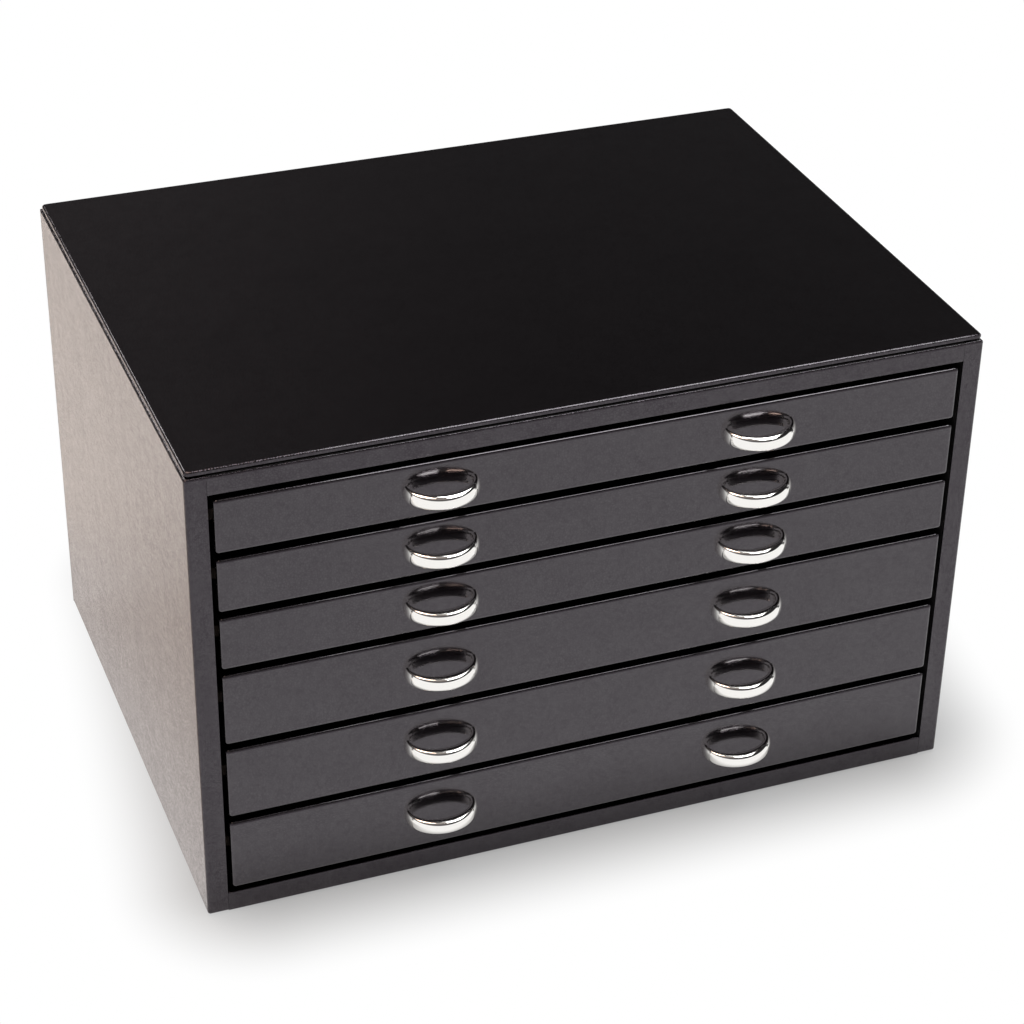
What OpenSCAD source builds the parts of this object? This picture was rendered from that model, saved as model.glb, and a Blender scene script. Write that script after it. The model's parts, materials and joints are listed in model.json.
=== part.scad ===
// Leather-covered jewellery chest: three shallow drawers over three deep ones, each with two crescent pulls.
// Millimetres. X runs to the right, Y to the back, Z up; the drawers open towards -Y.
// The origin is the middle of the felt that the chest stands on.

/* [Case] */
// Width over the leather
case_w = 340; // [300:1:400]
// Depth over the leather, without the pulls
case_d = 250; // [210:1:300]
// Thickness of each side board
side_board_t = 8; // [6:0.5:12]
// Thickness of the bottom board
bottom_board_t = 8.6; // [6:0.1:12]
// Thickness of the top board
top_board_t = 7.9; // [6:0.1:12]
// Thickness of the back board
back_board_t = 5; // [3:0.5:8]
// Thickness of the leather
leather_t = 0.8; // [0.6:0.1:1.2]
// Depth of the leather that is turned in behind the two rails
turn_in = 12; // [6:1:20]
// Rounding of the case's upper edges, upright front edges and lower side edges
case_edge_r = 1.3; // [0.8:0.1:1.5]
// Rounding of the case's lower front edge and of the rails' edges beside the drawers
seam_r = 0.7; // [0.3:0.1:0.7]
// Thickness of the felt under the case
felt_t = 0.5; // [0.3:0.1:2]
// Distance from the case's edge to the felt
felt_inset = 2; // [1:0.5:6]

/* [Top panel] */
// Thickness of the leather-covered top panel
panel_t = 1.6; // [1.6:0.1:3]
// Height of the shadow gap under the top panel
panel_gap = 1; // [0.6:0.1:2]
// Distance from the case's edge to the top panel's edge
panel_inset = 0.6; // [0.2:0.1:1.5]
// Rounding of the top panel's upper edges
panel_edge_r = 1.1; // [0.3:0.1:1.3]
// Rounding of the top panel's corners, seen from above
panel_corner_r = 2; // [0.5:0.1:2]
// Distance from the case's edge to the land that carries the top panel
land_inset = 4; // [2:0.5:8]

/* [Drawers] */
// Height of a shallow drawer's front
shallow_front_h = 24.1; // [22:0.1:30]
// Height of a deep drawer's front
deep_front_h = 33.6; // [28:0.1:50]
// Gap between one drawer front and the next, and under the lowest
drawer_gap = 2.9; // [1.5:0.1:4]
// Gap over the highest drawer front
top_gap = 2; // [1:0.1:4]
// Gap beside a drawer front
side_gap = 2; // [1:0.1:3]
// How far a drawer front stands in front of the case
front_proud = 1; // [0.2:0.1:2]
// Thickness of a drawer front's board
front_board_t = 8; // [6:0.5:10]
// Rounding of a drawer front's edges
front_edge_r = 1.2; // [0.4:0.1:1.2]
// How far the drawer box is set in from each end of its front
box_inset = 1.2; // [0.5:0.1:3]
// Height of the drawer box's underside over its front's lower edge
box_raise = 1.2; // [0.5:0.1:3]
// Distance from the front's upper edge down to the drawer walls
box_drop = 2; // [1:0.1:4]
// Thickness of a drawer's walls
wall_t = 6; // [5:0.5:8]
// Thickness of a drawer's bottom board
bottom_t = 3; // [2:0.5:4]
// Gap between a drawer and the back board
back_clear = 3; // [1:0.5:8]

/* [Runners] */
// Height of a runner strip
runner_h = 5; // [3:0.5:6]
// Depth of the groove in a drawer's side
groove_depth = 3; // [2:0.5:4]
// Clearance between a runner and its groove
run_clear = 0.3; // [0.2:0.1:0.6]
// Gap between a closed drawer front and the runners that stop it
stop_gap = 0.3; // [0.2:0.1:1]

/* [Lining] */
// Thickness of the velour pad on a drawer's floor
pad_t = 2; // [1:0.5:3]
// Thickness of the velour panels on a drawer's walls
liner_t = 1.5; // [1:0.1:2]
// Distance from the top of the walls down to the velour panels
liner_drop = 1; // [0.5:0.5:3]
// Thickness of a divider
divider_t = 3; // [2:0.5:4]
// Distance from the top of the walls down to the dividers
divider_drop = 2.5; // [1:0.5:4]
// Gap that a glue line or a seam leaves between two pieces
glue_gap = 0.1; // [0.05:0.01:0.2]
// Length of the ring rolls in the highest drawer
roll_length = 180; // [120:1:220]
// Width of a ring roll
roll_w = 15; // [10:0.5:20]
// Height of a ring roll
roll_h = 10.5; // [8:0.5:12]
// Height of a ring roll's round crown
roll_crown = 7.5; // [5:0.5:7.5]
// Least slot between two ring rolls
roll_slot = 2.4; // [1.5:0.1:4]

/* [Pulls] */
// Distance between the middles of a drawer's two pulls
pull_spacing = 136.4; // [100:0.2:180]
// Width over a pull's two ends
pull_w = 31.5; // [26:0.5:40]
// Reach of a pull in front of the leather
pull_reach = 13; // [11:0.5:18]
// Thickness of a pull at its middle, seen from above
pull_mid_t = 6.4; // [5:0.1:8]
// Thickness of a pull at its ends, seen from above
pull_end_t = 2.9; // [2.6:0.1:5]
// Height of a pull's oval section
pull_h = 6.2; // [5:0.1:8]
// Drop of a pull from its ends to its middle
pull_drop = 0.8; // [0:0.1:3]
// Height of a pull's ends over the middle of the drawer front
pull_rise = 0.4; // [0:0.1:4]
// Diameter of the screws that hold a pull
screw_d = 1.6; // [1.2:0.1:1.8]
// Diameter of a screw's head
screw_head_d = 3.2; // [2.8:0.1:4]
// Thickness of a screw's head
screw_head_t = 1.3; // [1:0.1:2]
// Length of a screw inside the pull
screw_grip = 2; // [1.4:0.1:2.4]
// Clearance round a screw
screw_clear = 0.1; // [0.05:0.01:0.2]
// Width and depth of the slot in a screw's head
screw_slot = 0.5; // [0.3:0.1:0.7]

/* [Hidden] */
$fn = 48;
arc_steps = 4;
roll_steps = 12;
pull_steps = 16;
pull_sides = 12;
// Least flat that stays beside a rounding on the leather's edge
edge_land = 0.1;
skin_r = min(seam_r, leather_t - edge_land);
hem_r = min(seam_r, panel_t - panel_edge_r - edge_land);
// Extra length of a cut, so that it passes right through
over = 1;

leather_colour = "#3b383a";
board_colour = "#332f2e";
box_colour = "#2a2829";
runner_colour = "#5a4030";
felt_colour = "#1c1c1e";
velour_colour = "#b3a592";
chrome_colour = "#d6d8dc";
steel_colour = "#9a9ca0";

drawers = [1, 2, 3, 4, 5, 6];
front_heights = concat([for (k = [1:3]) shallow_front_h], [for (k = [1:3]) deep_front_h]);
// Columns and rows of compartments in each drawer; the highest has its own layout beside the ring rolls
columns = [1, 3, 1, 3, 2, 1];
rows = [2, 2, 4, 1, 1, 1];
last = len(drawers) - 1;

// Case planes
x_out = case_w / 2;
x_board = x_out - leather_t;
x_in = x_board - side_board_t;
y_front = -case_d / 2;
y_back = case_d / 2;
y_board_front = y_front + leather_t;
y_board_back = y_back - leather_t;
y_in_back = y_board_back - back_board_t;
z_case = felt_t;
z_floor = z_case + bottom_board_t;
z_sill = z_floor + leather_t;

// Drawer planes, with drawer 0 the highest
function front_z(i) = i == last ? z_sill + drawer_gap : front_z(i + 1) + front_heights[i + 1] + drawer_gap;
function front_top(i) = front_z(i) + front_heights[i];
function box_z(i) = front_z(i) + box_raise;
function wall_z(i) = box_z(i) + bottom_t;
function wall_top(i) = front_top(i) - box_drop;
function groove_z(i) = (wall_z(i) + wall_top(i)) / 2;
function pad_top(i) = wall_z(i) + pad_t;
function pull_z(i) = front_z(i) + front_heights[i] / 2 + pull_rise;

z_head = front_top(0) + top_gap;
z_ceiling = z_head + leather_t;
z_case_top = z_ceiling + top_board_t;
z_panel = z_case_top + panel_gap;
z_panel_top = z_panel + panel_t;

front_w = 2 * (x_in - side_gap);
y_face = y_front - front_proud;
y_core = y_face + leather_t;
y_box = y_core + front_board_t;
y_box_back = y_in_back - back_clear;
x_box = front_w / 2 - box_inset;
x_wall = x_box - wall_t;
y_wall_back = y_box_back - wall_t;
x_runner = x_box - groove_depth + run_clear;
groove_h = runner_h + 2 * run_clear;

// Space inside a drawer's velour panels
x_liner = x_wall - liner_t;
y_liner_front = y_box + liner_t;
y_liner_back = y_wall_back - liner_t;
x_ring_divider = -x_liner + roll_length;
roll_count = floor((y_liner_back - y_liner_front + roll_slot) / (roll_w + roll_slot));
roll_pitch = (y_liner_back - y_liner_front - roll_w) / (roll_count - 1);

// Pull: a half ellipse that leaves the leather square to it
pull_half = (pull_w - pull_end_t) / 2;
pull_depth = pull_reach - pull_mid_t / 2;
screw_r = screw_d / 2;
screw_hole_r = screw_r + screw_clear;
head_hole_r = screw_head_d / 2 + screw_clear;
head_sink = screw_head_t + screw_clear;
screw_xs = [for (side = [-1, 1], foot = [-1, 1]) side * pull_spacing / 2 + foot * pull_half];

function drawer_names(n) = [for (piece = ["front_board", "front_leather", "walls", "bottom", "insert", "pulls",
    "screws"]) str("drawer_", n, "_", piece)];

// A box between two corners
module box(low, high) {
    translate(low) cube(high - low);
}

// Points round one corner of an outline: an arc of radius r, or the bare corner if r is 0
function corner(c, r, start) = r > 0
    ? [for (k = [0:arc_steps]) c + r * [cos(start + 90 * k / arc_steps), sin(start + 90 * k / arc_steps)]]
    : [c];

// Outline of a rectangle from low to high, with a rounding for each corner:
// low-low, high-low, high-high, low-high
function soft_rect(low, high, r) = concat(
    corner([low[0] + r[0], low[1] + r[0]], r[0], 180),
    corner([high[0] - r[1], low[1] + r[1]], r[1], 270),
    corner([high[0] - r[2], high[1] - r[2]], r[2], 0),
    corner([low[0] + r[3], high[1] - r[3]], r[3], 90));

// A box whose outlines seen from above, from the front and from the side each have their own roundings
module soft_box(low, high, plan = [0, 0, 0, 0], front = [0, 0, 0, 0], side = [0, 0, 0, 0]) {
    intersection() {
        translate([0, 0, low[2]])
            linear_extrude(high[2] - low[2])
                polygon(soft_rect([low[0], low[1]], [high[0], high[1]], plan));
        translate([0, high[1], 0])
            rotate([90, 0, 0])
                linear_extrude(high[1] - low[1])
                    polygon(soft_rect([low[0], low[2]], [high[0], high[2]], front));
        translate([low[0], 0, 0])
            rotate([90, 0, 90])
                linear_extrude(high[0] - low[0])
                    polygon(soft_rect([low[1], low[2]], [high[1], high[2]], side));
    }
}

// A cylinder that runs along Y from y0 to y1
module rod(x, z, r, y0, y1) {
    translate([x, y1, z]) rotate([90, 0, 0]) cylinder(r = r, h = y1 - y0);
}

// Left side board; the right one mirrors it
module side_board() {
    color(board_colour)
        box([-x_board, y_board_front, z_case + leather_t], [-x_in, y_board_back, z_case_top - leather_t]);
}

// Leather over the left side board's outer face and turned round its front, upper and lower edges
module side_leather() {
    color(leather_colour)
        difference() {
            soft_box([-x_out, y_front, z_case], [-x_in, y_board_back, z_case_top],
                plan = [case_edge_r, 0, 0, 0],
                front = [case_edge_r, 0, 0, case_edge_r],
                side = [seam_r, 0, 0, case_edge_r]);
            box([-x_board, y_board_front, z_case + leather_t],
                [-x_in + over, y_board_back + over, z_case_top - leather_t]);
        }
}

// Top board between the sides, with a land that carries the top panel
module top_board() {
    color(board_colour)
        union() {
            box([-x_in, y_board_front, z_ceiling], [x_in, y_board_back, z_case_top]);
            box([-x_in, y_front + land_inset, z_ceiling], [x_in, y_back - land_inset, z_panel]);
        }
}

module bottom_board() {
    color(board_colour)
        box([-x_in, y_board_front, z_case], [x_in, y_board_back, z_floor]);
}

module back_board() {
    color(board_colour)
        box([-x_in, y_in_back, z_floor], [x_in, y_board_back, z_ceiling]);
}

// Leather over a rail's front edge, turned in over the board's inner face
module top_rail_leather() {
    color(leather_colour)
        difference() {
            soft_box([-x_in, y_front, z_head], [x_in, y_board_front + turn_in, z_case_top],
                side = [seam_r, 0, 0, case_edge_r]);
            box([-x_in - over, y_board_front, z_ceiling],
                [x_in + over, y_board_front + turn_in + over, z_case_top + over]);
        }
}

module bottom_rail_leather() {
    color(leather_colour)
        difference() {
            soft_box([-x_in, y_front, z_case], [x_in, y_board_front + turn_in, z_sill],
                side = [seam_r, 0, 0, seam_r]);
            box([-x_in - over, y_board_front, z_case - over],
                [x_in + over, y_board_front + turn_in + over, z_floor]);
        }
}

module back_leather() {
    color(leather_colour)
        soft_box([-x_out, y_board_back, z_case], [x_out, y_back, z_case_top],
            plan = [0, 0, skin_r, skin_r],
            front = [case_edge_r, case_edge_r, case_edge_r, case_edge_r],
            side = [0, skin_r, skin_r, 0]);
}

module top_panel_core() {
    color(board_colour)
        box([-x_board + panel_inset, y_board_front + panel_inset, z_panel],
            [x_board - panel_inset, y_board_back - panel_inset, z_panel_top - leather_t]);
}

// Leather over the top panel, turned down round its four edges
module top_panel_leather() {
    color(leather_colour)
        difference() {
            soft_box([-x_out + panel_inset, y_front + panel_inset, z_panel],
                [x_out - panel_inset, y_back - panel_inset, z_panel_top],
                plan = [panel_corner_r, panel_corner_r, panel_corner_r, panel_corner_r],
                front = [hem_r, hem_r, panel_edge_r, panel_edge_r],
                side = [hem_r, hem_r, panel_edge_r, panel_edge_r]);
            box([-x_board + panel_inset, y_board_front + panel_inset, z_panel - over],
                [x_board - panel_inset, y_board_back - panel_inset, z_panel_top - leather_t]);
        }
}

module base_felt() {
    color(felt_colour)
        box([-x_out + felt_inset, y_front + felt_inset, 0], [x_out - felt_inset, y_back - felt_inset, z_case]);
}

// Runner strips on the left side board, one for each drawer
module runners() {
    color(runner_colour)
        for (i = [0:last])
            box([-x_in, y_box + stop_gap, groove_z(i) - runner_h / 2],
                [-x_runner, y_in_back, groove_z(i) + runner_h / 2]);
}

// Section of a ring roll: upright sides under an elliptical crown
function roll_section() = concat(
    [[roll_w / 2 - glue_gap, 0]],
    [for (k = [0:roll_steps]) let (a = 180 * k / roll_steps)
        [(roll_w / 2 - glue_gap) * cos(a), roll_h - roll_crown + roll_crown * sin(a)]],
    [[-roll_w / 2 + glue_gap, 0]]);

// Foam rolls under velour, flat below and round above, that grip rings in the slots between them
module ring_rolls() {
    color(velour_colour)
        for (k = [0:roll_count - 1])
            translate([-x_liner + glue_gap, y_liner_front + roll_w / 2 + k * roll_pitch, pad_top(0)])
                rotate([90, 0, 90])
                    linear_extrude(roll_length - 2 * glue_gap)
                        polygon(roll_section());
}

// Board of a drawer front, bored for the pull screws and sunk for their heads
module front_board(i) {
    color(board_colour)
        difference() {
            box([-front_w / 2 + leather_t, y_core, front_z(i) + leather_t],
                [front_w / 2 - leather_t, y_box, front_top(i) - leather_t]);
            for (x = screw_xs) {
                rod(x, pull_z(i), screw_hole_r, y_core - over, y_box + over);
                rod(x, pull_z(i), head_hole_r, y_box - head_sink, y_box + over);
            }
        }
}

// Leather over a drawer front and turned round its four edges
module front_leather(i) {
    color(leather_colour)
        difference() {
            soft_box([-front_w / 2, y_face, front_z(i)], [front_w / 2, y_box, front_top(i)],
                plan = [front_edge_r, front_edge_r, 0, 0],
                front = [front_edge_r, front_edge_r, front_edge_r, front_edge_r],
                side = [front_edge_r, 0, 0, front_edge_r]);
            box([-front_w / 2 + leather_t, y_core, front_z(i) + leather_t],
                [front_w / 2 - leather_t, y_box + over, front_top(i) - leather_t]);
            for (x = screw_xs)
                rod(x, pull_z(i), screw_hole_r, y_face - over, y_core + over);
        }
}

// Left wall of a drawer, grooved for its runner
module side_wall(i) {
    difference() {
        box([-x_box, y_box, wall_z(i)], [-x_wall, y_box_back, wall_top(i)]);
        box([-x_box - over, y_box - over, groove_z(i) - groove_h / 2],
            [-x_box + groove_depth, y_box_back + over, groove_z(i) + groove_h / 2]);
    }
}

// Two grooved side walls and the back wall between them
module walls(i) {
    color(box_colour) {
        side_wall(i);
        mirror([1, 0, 0]) side_wall(i);
        box([-x_wall + glue_gap, y_wall_back, wall_z(i)], [x_wall - glue_gap, y_box_back, wall_top(i)]);
    }
}

module bottom(i) {
    color(box_colour)
        box([-x_box, y_box, box_z(i)], [x_box, y_box_back, wall_z(i)]);
}

// Velour floor pad and the four wall panels that stand on it
module lining(i) {
    panel_z = pad_top(i) + glue_gap;
    panel_top = wall_top(i) - liner_drop;
    box([-x_wall, y_box, wall_z(i)], [x_wall, y_wall_back, pad_top(i)]);
    box([-x_wall, y_box, panel_z], [x_wall, y_liner_front, panel_top]);
    box([-x_wall, y_liner_back, panel_z], [x_wall, y_wall_back, panel_top]);
    for (side = [0, 1])
        mirror([side, 0, 0])
            box([-x_wall, y_liner_front + glue_gap, panel_z], [-x_liner, y_liner_back - glue_gap, panel_top]);
}

// Dividers that part the space from x0 to x1 into equal columns and rows
module grid(i, x0, x1, column_count, row_count) {
    z0 = pad_top(i) + glue_gap;
    z1 = wall_top(i) - divider_drop;
    column_w = (x1 - x0 - (column_count - 1) * divider_t) / column_count;
    row_d = (y_liner_back - y_liner_front - (row_count - 1) * divider_t) / row_count;
    for (c = [1:1:column_count - 1]) {
        x = x0 + c * column_w + (c - 1) * divider_t;
        box([x, y_liner_front + glue_gap, z0], [x + divider_t, y_liner_back - glue_gap, z1]);
    }
    for (c = [0:column_count - 1], r = [1:1:row_count - 1]) {
        x = x0 + c * (column_w + divider_t);
        y = y_liner_front + r * row_d + (r - 1) * divider_t;
        box([x + glue_gap, y, z0], [x + column_w - glue_gap, y + divider_t, z1]);
    }
}

// Lining and dividers of a drawer; the highest drawer's dividers stand to the right of the ring rolls
module insert(i) {
    color(velour_colour) {
        lining(i);
        if (i == 0)
            box([x_ring_divider, y_liner_front + glue_gap, pad_top(i) + glue_gap],
                [x_ring_divider + divider_t, y_liner_back - glue_gap, wall_top(i) - divider_drop]);
        grid(i, i == 0 ? x_ring_divider + divider_t : -x_liner, x_liner, columns[i], rows[i]);
    }
}

// A point on a pull's skin: a along the half ellipse from end to end, b round the oval section.
// The section keeps its height, thickens with the squared sine of a and drops with the sine of a.
function pull_normal(a) = let (n = [cos(a) / pull_half, sin(a) / pull_depth]) n / norm(n);
function pull_thickness(a) = pull_end_t + (pull_mid_t - pull_end_t) * pow(sin(a), 2);
function pull_point(a, b) = let (
    flat = [pull_half * cos(a), pull_depth * sin(a)] + pull_thickness(a) / 2 * cos(b) * pull_normal(a))
    [flat[0], -flat[1], pull_h / 2 * sin(b) - pull_drop * sin(a)];

// One crescent pull with its ends at y = 0, bored for two screws
module pull() {
    skin = [for (s = [0:pull_steps], k = [0:pull_sides - 1])
        pull_point(180 * s / pull_steps, 360 * k / pull_sides)];
    sides = [for (s = [0:pull_steps - 1], k = [0:pull_sides - 1], half = [0, 1])
        let (
            here = s * pull_sides + k,
            next = s * pull_sides + (k + 1) % pull_sides)
        half == 0
            ? [here, here + pull_sides, next + pull_sides]
            : [here, next + pull_sides, next]];
    first_end = [for (k = [0:pull_sides - 1]) k];
    last_end = [for (k = [pull_sides - 1:-1:0]) pull_steps * pull_sides + k];
    difference() {
        polyhedron(skin, concat(sides, [first_end, last_end]));
        for (foot = [-1, 1])
            rod(foot * pull_half, 0, screw_hole_r, -screw_grip - screw_clear, over);
    }
}

module pulls(i) {
    color(chrome_colour)
        for (side = [-1, 1])
            translate([side * pull_spacing / 2, y_face, pull_z(i)]) pull();
}

// Slotted screws from inside the drawer front into the ends of its pulls
module screws(i) {
    y_seat = y_box - head_sink;
    color(steel_colour)
        for (x = screw_xs)
            difference() {
                union() {
                    rod(x, pull_z(i), screw_r, y_face - screw_grip, y_seat + over / 2);
                    rod(x, pull_z(i), screw_head_d / 2, y_seat, y_seat + screw_head_t);
                }
                box([x - screw_head_d, y_seat + screw_head_t - screw_slot, pull_z(i) - screw_slot / 2],
                    [x + screw_head_d, y_seat + screw_head_t + over, pull_z(i) + screw_slot / 2]);
            }
}

side_board();  // left_side_board
mirror([1, 0, 0]) side_board();  // right_side_board
top_board();
bottom_board();
back_board();
side_leather();  // left_side_leather
mirror([1, 0, 0]) side_leather();  // right_side_leather
top_rail_leather();
bottom_rail_leather();
back_leather();
top_panel_core();
top_panel_leather();
base_felt();
runners();  // left_runners
mirror([1, 0, 0]) runners();  // right_runners
ring_rolls();
for (n = drawers) {
    front_board(n - 1);
    front_leather(n - 1);
    walls(n - 1);
    bottom(n - 1);
    insert(n - 1);
    pulls(n - 1);
    screws(n - 1);
}
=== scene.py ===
"""Dresses the leather jewellery chest: its covers, pulls, linings and finishes, and the studio round it."""

import json
import math

import bpy
import numpy as np
from bpy.props import FloatProperty, FloatVectorProperty, IntProperty, PointerProperty
from mathutils import Matrix, Vector

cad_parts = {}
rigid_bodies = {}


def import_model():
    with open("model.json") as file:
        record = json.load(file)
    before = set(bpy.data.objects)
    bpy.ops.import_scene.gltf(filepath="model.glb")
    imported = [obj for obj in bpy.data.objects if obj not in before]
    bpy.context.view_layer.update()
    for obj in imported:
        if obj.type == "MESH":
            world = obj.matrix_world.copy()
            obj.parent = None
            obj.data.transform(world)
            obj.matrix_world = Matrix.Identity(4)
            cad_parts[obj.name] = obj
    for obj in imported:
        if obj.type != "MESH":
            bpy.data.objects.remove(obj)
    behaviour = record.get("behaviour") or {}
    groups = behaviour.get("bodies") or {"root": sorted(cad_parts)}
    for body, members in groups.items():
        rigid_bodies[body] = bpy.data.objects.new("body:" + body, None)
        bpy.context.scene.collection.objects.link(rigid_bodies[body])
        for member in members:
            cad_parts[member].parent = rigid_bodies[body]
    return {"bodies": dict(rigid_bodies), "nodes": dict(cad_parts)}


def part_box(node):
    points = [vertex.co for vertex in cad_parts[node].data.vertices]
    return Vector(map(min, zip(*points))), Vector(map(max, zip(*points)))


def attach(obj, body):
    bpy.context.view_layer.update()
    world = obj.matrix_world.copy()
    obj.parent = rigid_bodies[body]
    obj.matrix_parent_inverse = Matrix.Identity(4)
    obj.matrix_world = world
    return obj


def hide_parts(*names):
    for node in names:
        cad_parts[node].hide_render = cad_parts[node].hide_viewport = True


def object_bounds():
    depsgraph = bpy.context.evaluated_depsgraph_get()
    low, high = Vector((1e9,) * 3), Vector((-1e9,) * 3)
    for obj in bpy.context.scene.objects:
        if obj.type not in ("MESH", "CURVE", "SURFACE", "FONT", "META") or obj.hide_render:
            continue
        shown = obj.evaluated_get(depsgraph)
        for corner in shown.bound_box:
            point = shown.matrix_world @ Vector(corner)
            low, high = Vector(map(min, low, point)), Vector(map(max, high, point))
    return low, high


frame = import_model()
CAD_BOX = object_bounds()

bl_info = {
    "name": "Jewellery chest",
    "version": (1, 0, 0),
    "blender": (4, 5, 0),
    "location": "3D View > Sidebar > Chest",
    "description": "Builds the covers, pulls, linings and finishes of a leather chest with six drawers",
    "category": "Object",
}

MM = 0.001
AXES = "xyz"
DRAWERS = sorted(name for name in frame["bodies"] if name.startswith("drawer_"))
# Columns and rows of compartments in each drawer, from the highest down
COLUMNS = (1, 3, 1, 3, 2, 1)
ROWS = (2, 2, 4, 1, 1, 1)
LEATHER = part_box("left_side_board")[0].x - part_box("left_side_leather")[0].x
# Thickness of the gap that glue and seams leave between two pieces
SEAM = 0.1 * MM
# Angle over which an edge of a piece is shaded sharp
SHARP = math.radians(50)
# Distance between the points of the leather covers
STEP = 1.7 * MM
# Refractive index of the leather and of its top coat
LEATHER_INDEX = 1.53
# How far a surface faces up where the line below an upper edge begins, is at its full, and ends
CREASE_LINE = (0.2, 0.34, 0.52, 0.64)
WHITE = (1.0, 1.0, 1.0)


class LeatherSettings(bpy.types.PropertyGroup):
    """Sizes and colours of the leather covers."""

    colour: FloatVectorProperty(
        name="Colour", description="Colour of the dyed leather", subtype="COLOR", size=3,
        min=0, max=1, default=(0.0028, 0.0026, 0.0029))
    thickness: FloatProperty(
        name="Thickness", description="Thickness of the leather", unit="LENGTH", default=LEATHER)
    tint: FloatVectorProperty(
        name="Gloss tint", description="Tint of the grain's own gloss", subtype="COLOR", size=3,
        min=0, max=1, default=(1.0, 0.85, 1.0))
    case_rounding: FloatProperty(
        name="Case rounding", description="Rounding of the case's edges", unit="LENGTH", default=1.3 * MM)
    front_rounding: FloatProperty(
        name="Front rounding", description="Rounding of a drawer front's edges",
        unit="LENGTH", default=1.6 * MM)
    seam_rounding: FloatProperty(
        name="Seam rounding", description="Rounding of the rails beside the drawers",
        unit="LENGTH", default=0.7 * MM)
    panel_rounding: FloatProperty(
        name="Panel rounding", description="Rounding of the top panel's upper edges", unit="LENGTH",
        default=1.1 * MM)
    panel_corner: FloatProperty(
        name="Panel corner", description="Rounding of the top panel's corners, seen from above",
        unit="LENGTH",
        default=2 * MM)
    ripple_height: FloatProperty(
        name="Ripple height", description="Depth of the slow ripples in the stretched leather", unit="LENGTH",
        default=0.05 * MM)
    ripple_length: FloatProperty(
        name="Ripple length", description="Distance from one slow ripple to the next", unit="LENGTH",
        default=60 * MM)
    dimple_height: FloatProperty(
        name="Dimple height", description="Depth of the short dimples in the hide", unit="LENGTH",
        default=0.04 * MM)
    dimple_length: FloatProperty(
        name="Dimple length", description="Distance from one short dimple to the next", unit="LENGTH",
        default=6 * MM)
    taut_edge: FloatProperty(
        name="Taut edge", description="Distance from an edge over which the leather lies taut", unit="LENGTH",
        default=4 * MM)
    grain_size: FloatProperty(
        name="Grain size", description="Width of one pebble of the grain", unit="LENGTH", default=1.1 * MM)
    grain_depth: FloatProperty(
        name="Grain depth", description="Depth of the creases between the pebbles", unit="LENGTH",
        default=0.045 * MM)
    roughness: FloatProperty(
        name="Roughness", description="Roughness of the grain under the top coat",
        subtype="FACTOR", default=0.09)
    case_coat: FloatProperty(
        name="Case coat", description="Most of the clear top coat on the case", subtype="FACTOR", default=0.8)
    front_coat: FloatProperty(
        name="Front coat", description="Most of the clear top coat on the drawer fronts", subtype="FACTOR",
        default=1.0)
    coat_roughness: FloatProperty(
        name="Top coat roughness", description="Roughness of the clear top coat",
        subtype="FACTOR", default=0.05)


class PullSettings(bpy.types.PropertyGroup):
    """Sizes and colours of the crescent pulls."""

    colour: FloatVectorProperty(
        name="Colour", description="Colour of the polished plating", subtype="COLOR", size=3,
        min=0, max=1, default=(0.93, 0.91, 0.88))
    width: FloatProperty(
        name="Width", description="Width over a pull's two ends", unit="LENGTH", default=31.5 * MM)
    end_thickness: FloatProperty(
        name="End thickness", description="Thickness of a pull at its ends, seen from above", unit="LENGTH",
        default=2.9 * MM)
    middle_thickness: FloatProperty(
        name="Middle thickness", description="Thickness of a pull at its middle, seen from above",
        unit="LENGTH",
        default=6.0 * MM)
    height: FloatProperty(
        name="Height", description="Height of a pull's section", unit="LENGTH", default=6.2 * MM)
    squareness: FloatProperty(
        name="Squareness", description="Power of a pull's section: 2 is an oval, more is squarer",
        default=2.3)
    roughness: FloatProperty(
        name="Roughness", description="Roughness of the plating", subtype="FACTOR", default=0.05)


class LiningSettings(bpy.types.PropertyGroup):
    """Sizes and colours of the velour linings."""

    colour: FloatVectorProperty(
        name="Colour", description="Colour of the velour", subtype="COLOR", size=3,
        min=0, max=1, default=(0.42, 0.36, 0.29))
    pad_thickness: FloatProperty(
        name="Pad thickness", description="Thickness of the floor pad", unit="LENGTH", default=2 * MM)
    panel_thickness: FloatProperty(
        name="Panel thickness", description="Thickness of the wall panels", unit="LENGTH", default=1.5 * MM)
    divider_thickness: FloatProperty(
        name="Divider thickness", description="Thickness of a divider", unit="LENGTH", default=3 * MM)
    divider_drop: FloatProperty(
        name="Divider drop", description="Distance from the wall panels' tops down to the dividers",
        unit="LENGTH",
        default=1.5 * MM)
    rounding: FloatProperty(
        name="Rounding", description="Rounding of the covered edges", unit="LENGTH", default=0.6 * MM)
    roll_count: IntProperty(
        name="Rolls", description="Number of ring rolls", default=13)
    roll_width: FloatProperty(
        name="Roll width", description="Width of a ring roll", unit="LENGTH", default=14.8 * MM)
    roll_crown: FloatProperty(
        name="Roll crown", description="Height of a ring roll's round crown", unit="LENGTH", default=7.5 * MM)
    roll_tuck: FloatProperty(
        name="Roll tuck", description="Length over which a ring roll draws in at each end", unit="LENGTH",
        default=2.5 * MM)
    pile: FloatProperty(
        name="Pile", description="Depth of the brushed pile", unit="LENGTH", default=0.12 * MM)


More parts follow.
